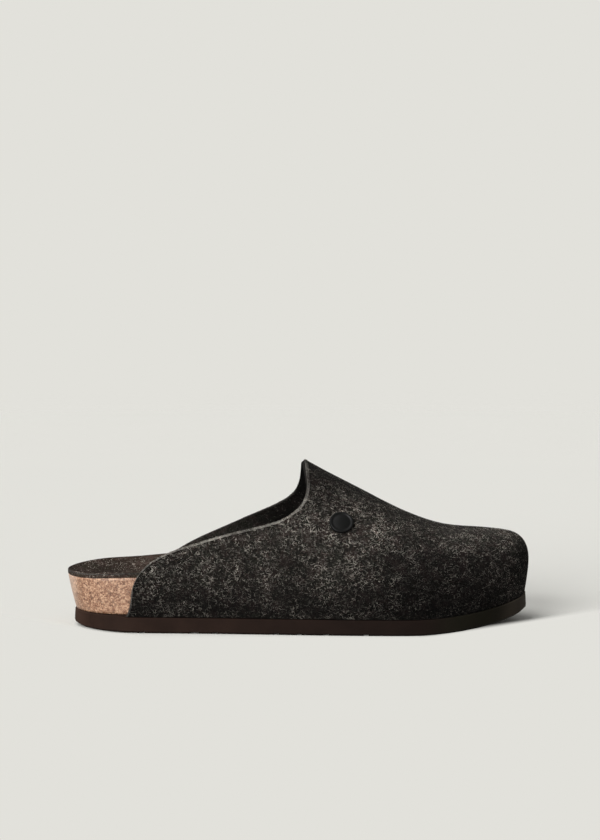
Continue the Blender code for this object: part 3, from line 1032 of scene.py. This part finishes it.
@dataclass
class FeltUpper:
    """Felt shell with rounded cut edges and loose wool."""

    slot: str = "grey_felt"
    under: float = -0.8
    part_angle: float = 55.0
    edge_radius: float = 0.42 * MM
    edge_segments: int = 2
    corner_radius: float = 0.32 * MM
    corner_segments: int = 3
    smooth_levels: int = 2
    lip_height: float = 93.5 * MM
    lip_span: float = 4.0 * MM
    lip_push: Place = (-1.3 * MM, 0.0, 0.9 * MM)
    felt: FeltFinish = FeltFinish("upper_felt")
    # The inside is a darker copy of the felt, as painted shade, with painted light towards the back
    shaded_inside: FeltFinish = FeltFinish("upper_felt_inside_painted_shading", pale_share=0.35, gain=0.26, painted_light_back_gain=5.0)
    edge: FeltFinish = FeltFinish(
        "upper_felt_cut_edge", (0.014, 0.013, 0.012), pale=(0.10, 0.09, 0.08), gain=0.8
    )
    # The corner of the cut edge is pale: partly the pale wool of the cut, partly a painted
    # highlight along the edge
    corner: FeltFinish = FeltFinish(
        "upper_felt_corner_wool_and_highlight",
        dark=(0.085, 0.080, 0.073),
        pale=(0.52, 0.50, 0.46),
        pale_share=0.8,
        gain=1.0,
    )
    pale: FibreFinish = FibreFinish("pale_wool", (0.325, 0.300, 0.258))
    grey: FibreFinish = FibreFinish("grey_wool", (0.090, 0.080, 0.071))
    brown: FibreFinish = FibreFinish("brown_wool", (0.066, 0.047, 0.041))
    short: Span = (0.7 * MM, 2.0 * MM)
    middle: Span = (1.2 * MM, 3.4 * MM)
    long: Span = (2.5 * MM, 5.5 * MM)
    thin: Span = (0.07 * MM, 0.14 * MM)
    mixed: Span = (0.07 * MM, 0.16 * MM)
    stout: Span = (0.10 * MM, 0.20 * MM)
    flat: Span = (0.0, 0.14 * MM)
    nap: Span = (0.03 * MM, 0.35 * MM)

    def shell(self) -> bpy.types.Object:
        """The felt itself.

        Returns:
            The object.
        """
        bm = merged_copy("upper")
        for place, group in enumerate(regions_of(bm, self.part_angle)):
            under = sum(face.normal.z for face in group) < self.under * len(group)
            for face in group:
                face.material_index = Skin.FOOT.value if under else min(place, Skin.CUT_EDGE.value)
        self.blunt_peak(bm)
        for skin in (Skin.FOOT, Skin.INSIDE):
            soften(bm, self.part_angle, skin.value, self.edge_radius, self.edge_segments)
        corner = soften(
            bm, self.part_angle, Skin.OUTSIDE.value, self.corner_radius, self.corner_segments
        )
        for face in corner:
            face.material_index = Skin.CORNER.value
        finishes = (self.felt, self.shaded_inside, self.edge, self.corner, self.shaded_inside)
        made = as_object("felt_upper", bm, [finish.build() for finish in finishes])
        subdivide(made, self.smooth_levels)
        settle(made, self.slot, "upper")
        return made

    def blunt_peak(self, bm: bmesh.types.BMesh) -> None:
        """Push the inner rim of the collar's peak back and up, so that it is as thick as the felt.

        Args:
            bm: The shell with its material slots.
        """
        for vert in bm.verts:
            touching = {face.material_index for face in vert.link_faces}
            if {Skin.INSIDE.value, Skin.CUT_EDGE.value} <= touching:
                share = min(max((vert.co.z - self.lip_height) / self.lip_span, 0.0), 1.0)
                vert.co += share * Vector(self.lip_push)
        bm.normal_update()

    def wool(self, shell: bpy.types.Object) -> None:
        """Lay wool of three colours outside, grey inside and pale on the cut edge's corner.

        Args:
            shell: The felt.
        """
        pale, grey, brown = (finish.build() for finish in (self.pale, self.grey, self.brown))
        outside, inside, rim = Skin.OUTSIDE, Skin.INSIDE, Skin.CORNER

        # Name, count, length, width, lift, curl, seed, faces and colour of each layer
        layers = (
            ("pale", 17000, self.short, self.mixed, self.flat, 1.0, 11, outside, pale),
            ("long", 1800, self.long, self.thin, self.flat, 1.4, 15, outside, pale),
            ("grey", 7000, self.middle, self.stout, self.flat, 1.2, 12, outside, grey),
            ("brown", 6000, self.middle, self.stout, self.flat, 1.2, 13, outside, brown),
            # Pale wool on the corner: fuzz of the cut, and part of the painted highlight along the
            # edge
            ("edge", 2200, self.short, self.thin, self.nap, 1.2, 14, rim, pale),
            ("inner", 6000, self.short, self.thin, self.flat, 1.0, 16, inside, grey),
        )
        for name, *sizes, skin, finish in layers:
            WoolField(f"upper_{name}_wool", *sizes, (skin.value,)).lay(shell, finish, self.slot)

    def build(self) -> None:
        """Make the upper."""
        self.wool(self.shell())


@dataclass
class FeltInsole:
    """Felt cover of the footbed with its bare edge."""

    slot: str = "insole_felt"
    felt: FeltFinish = FeltFinish(
        "insole_felt",
        dark=(0.036, 0.0240, 0.0180),
        warm=(0.068, 0.0430, 0.0350),
        green=(0.034, 0.0280, 0.0170),
        pale=(0.330, 0.275, 0.225),
        gain=0.94,
    )
    edge: FeltFinish = FeltFinish(
        "insole_felt_edge", (0.11, 0.10, 0.09), pale=(0.40, 0.36, 0.32), gain=0.60
    )
    edge_slopes: Span = (0.25, 0.85)
    edge_area: float = 9.0 * MM * MM
    crease_angle: float = 50.0
    smooth_levels: int = 2
    pale: FibreFinish = FibreFinish("insole_pale_wool", (0.46, 0.40, 0.34))
    wool: WoolField = WoolField(
        name="insole_wool",
        count=12000,
        length=(0.8 * MM, 3.0 * MM),
        width=(0.08 * MM, 0.17 * MM),
        lift=(0.0, 0.15 * MM),
        curl=1.4,
        seed=21,
    )

    def build(self) -> None:
        """Make the insole and its wool."""
        bm = merged_copy("insole")
        keep_sharp(bm, self.crease_angle)
        low, high = self.edge_slopes
        for face in bm.faces:
            bare = low < face.normal.z < high and face.calc_area() < self.edge_area
            face.material_index = int(bare)
        made = as_object("felt_insole", bm, [self.felt.build(), self.edge.build()])
        subdivide(made, self.smooth_levels)
        settle(made, self.slot, "insole")
        self.wool.lay(made, self.pale.build(), self.slot)


@dataclass
class CorkFootbed:
    """Moulded cork body."""

    slot: str = "cork"
    cork: CorkFinish = CorkFinish("sealed_cork")
    crease_angle: float = 50.0
    smooth_levels: int = 2

    def build(self) -> None:
        """Make the footbed."""
        bm = merged_copy("cork_footbed")
        keep_sharp(bm, self.crease_angle)
        made = as_object("moulded_cork", bm, [self.cork.build()])
        subdivide(made, self.smooth_levels)
        settle(made, self.slot, "cork_footbed")


@dataclass
class Outsole:
    """Rubber sole with eased edges."""

    slot: str = "sole_rubber"
    rubber: RubberFinish = RubberFinish("matte_rubber")
    smooth_angle: float = 32.0
    edge_angle: float = 38.0
    edge_radius: float = 0.35 * MM
    edge_segments: int = 2

    def build(self) -> None:
        """Make the sole."""
        bm = merged_copy("outsole")
        limit = math.radians(self.smooth_angle)
        for edge in bm.edges:
            edge.smooth = len(edge.link_faces) == 2 and edge.calc_face_angle(0.0) < limit
        made = as_object("rubber_outsole", bm, [self.rubber.build()])
        ease = made.modifiers.new("ease", "BEVEL")
        ease.width = self.edge_radius
        ease.segments = self.edge_segments
        ease.limit_method = "ANGLE"
        ease.angle_limit = math.radians(self.edge_angle)
        ease.harden_normals = True
        settle(made, self.slot, "outsole")


@dataclass
class SideCap:
    """Plain cap on the outer side."""

    slot: str = "stud_plastic"
    plastic: CapFinish = CapFinish("black_plastic")
    part_angle: float = 30.0
    pressed: float = 1.4 * MM
    smooth_levels: int = 1

    def facing(self, group: Sequence[bmesh.types.BMFace]) -> Vector:
        """The summed normals of some faces, weighed by their areas."""
        return sum((face.normal * face.calc_area() for face in group), Vector())

    def build(self) -> None:
        """Make the cap, with its back pressed into the felt."""
        bm = merged_copy("side_stud")
        back = max(regions_of(bm, self.part_angle), key=lambda group: self.facing(group).y)
        inward = self.facing(back).normalized()
        verts = list({vert for face in back for vert in face.verts})
        bmesh.ops.translate(bm, vec=inward * self.pressed, verts=verts)
        made = as_object("side_cap", bm, [self.plastic.build()])
        subdivide(made, self.smooth_levels)
        settle(made, self.slot, "side_stud")


# The studio


@dataclass(frozen=True)
class Lamp:
    """A far, soft light."""

    name: str
    place: Place
    energy: float
    spread: float

    def build(self) -> None:
        """Make the light."""
        light = bpy.data.lights.new(self.name, "SUN")
        light.energy = self.energy
        light.angle = math.radians(self.spread)
        made = bpy.data.objects.new(self.name, light)
        made.rotation_euler = Vector(self.place).to_track_quat("Z", "Y").to_euler()
        bpy.context.scene.collection.objects.link(made)


@dataclass
class Studio:
    """Seamless pale floor, two soft lights from the front left and a weak sky.

    The floor glows in the backdrop's colour ahead of a border, given in millimetres by its place
    in front, and at toe and heel by where it turns back and by its slope from there.
    """

    backdrop: Colour = (0.7605, 0.7529, 0.7084)
    floor_albedo: Colour = (0.868, 0.860, 0.809)
    glow_front: float = -54.0
    glow_toe: Span = (73.0, 0.845)
    glow_heel: Span = (-95.0, -0.9)
    glow_blend: Span = (-6.0, 10.0)
    floor_radius: float = 2.2
    floor_sides: int = 96
    floor_fade: Span = (0.45, 0.95)
    sky: float = 0.30
    sky_span: Span = (-0.25, 0.75)
    sky_below: float = 0.22
    mirror_share: float = 0.5
    lamps: tuple[Lamp, ...] = (
        Lamp("overhead", (-0.40, -0.20, 1.00), 1.1, 40.0),
        Lamp("left", (-0.60, -1.00, 0.39), 3.4, 38.0),
    )

    def floor(self) -> None:
        """Round floor that fades into the backdrop."""
        bm = bmesh.new()
        bmesh.ops.create_circle(
            bm, cap_ends=True, radius=self.floor_radius, segments=self.floor_sides
        )
        recipe = Recipe(bpy.data.materials.new("studio_floor"))
        place = recipe.node("ShaderNodeTexCoord", output="Object")
        away = recipe.node("ShaderNodeVectorMath", {"operation": "LENGTH"}, {0: place}, "Value")
        clear = recipe.node("ShaderNodeBsdfTransparent")
        matte = recipe.node("ShaderNodeBsdfDiffuse", {}, {"Color": self.floor_albedo})
        glow = recipe.node("ShaderNodeEmission", {}, {"Color": self.backdrop})
        spot = recipe.millimetres()
        toe = (recipe.axis(spot, "X") - self.glow_toe[0]) * self.glow_toe[1]
        heel = (recipe.axis(spot, "X") - self.glow_heel[0]) * self.glow_heel[1]
        border = toe.highest(heel).highest(0.0) + self.glow_front
        deep = (recipe.axis(spot, "Y") - border).remap(*self.glow_blend)
        lit = recipe.node("ShaderNodeMixShader", {}, {0: deep, 1: glow, 2: matte})
        edge = away.remap(*(share * self.floor_radius for share in self.floor_fade))
        mixed = recipe.node("ShaderNodeMixShader", {}, {0: edge, 1: lit, 2: clear})
        recipe.plug(recipe.tree.nodes["Material Output"].inputs["Surface"], mixed)
        made = as_object("floor", bm, [recipe.owner])
        made.visible_diffuse = False
        made.visible_glossy = False

    def world(self) -> None:
        """Backdrop for the camera, and a sky that is weaker below for the light."""
        recipe = Recipe(bpy.data.worlds.new("studio"))
        background = recipe.tree.nodes["Background"]
        recipe.plug(background.inputs["Color"], self.backdrop)
        shown = Wire(recipe, background.outputs[0])
        place = recipe.node("ShaderNodeTexCoord", output="Generated")
        below = self.sky_below * self.sky
        strength = recipe.axis(place, "Z").remap(*self.sky_span, below, self.sky, "LINEAR")
        lit = recipe.node("ShaderNodeBackground", {}, {"Strength": strength})
        mirrored = recipe.node("ShaderNodeLightPath", output="Is Glossy Ray")
        direct = recipe.node("ShaderNodeLightPath", output="Is Camera Ray")
        seen = mirrored * self.mirror_share + direct
        mixed = recipe.node("ShaderNodeMixShader", {}, {0: seen, 1: lit, 2: shown})
        recipe.plug(recipe.tree.nodes["World Output"].inputs["Surface"], mixed)
        bpy.context.scene.world = recipe.owner

    def build(self) -> None:
        """Make the studio."""
        self.floor()
        self.world()
        for lamp in self.lamps:
            lamp.build()
        bpy.context.scene.view_settings.view_transform = "Standard"


@dataclass
class PhotoCamera:
    """Camera at the height and distance of the photograph."""

    place: Place = (0.00086, -1.40377, 0.2360)
    pitch: float = 4.6
    lens: float = 100.0
    sensor: float = 36.0
    clip: Span = (0.05, 50.0)

    def build(self) -> None:
        """Make the camera and use it."""
        data = bpy.data.cameras.new("camera")
        data.lens = self.lens
        data.sensor_width = self.sensor
        data.clip_start, data.clip_end = self.clip
        made = bpy.data.objects.new("camera", data)
        made.location = self.place
        made.rotation_euler = (math.radians(90.0 - self.pitch), 0.0, 0.0)
        bpy.context.scene.collection.objects.link(made)
        bpy.context.scene.camera = made


def main() -> None:
    """Build the camera, the shoe and the studio."""
    logging.basicConfig(level=logging.INFO, format="%(name)s %(message)s")
    PhotoCamera().build()
    for assembly in (Outsole(), CorkFootbed(), FeltInsole(), FeltUpper(), SideCap()):
        assembly.build()
    Studio().build()


if __name__ == "__main__":
    main()
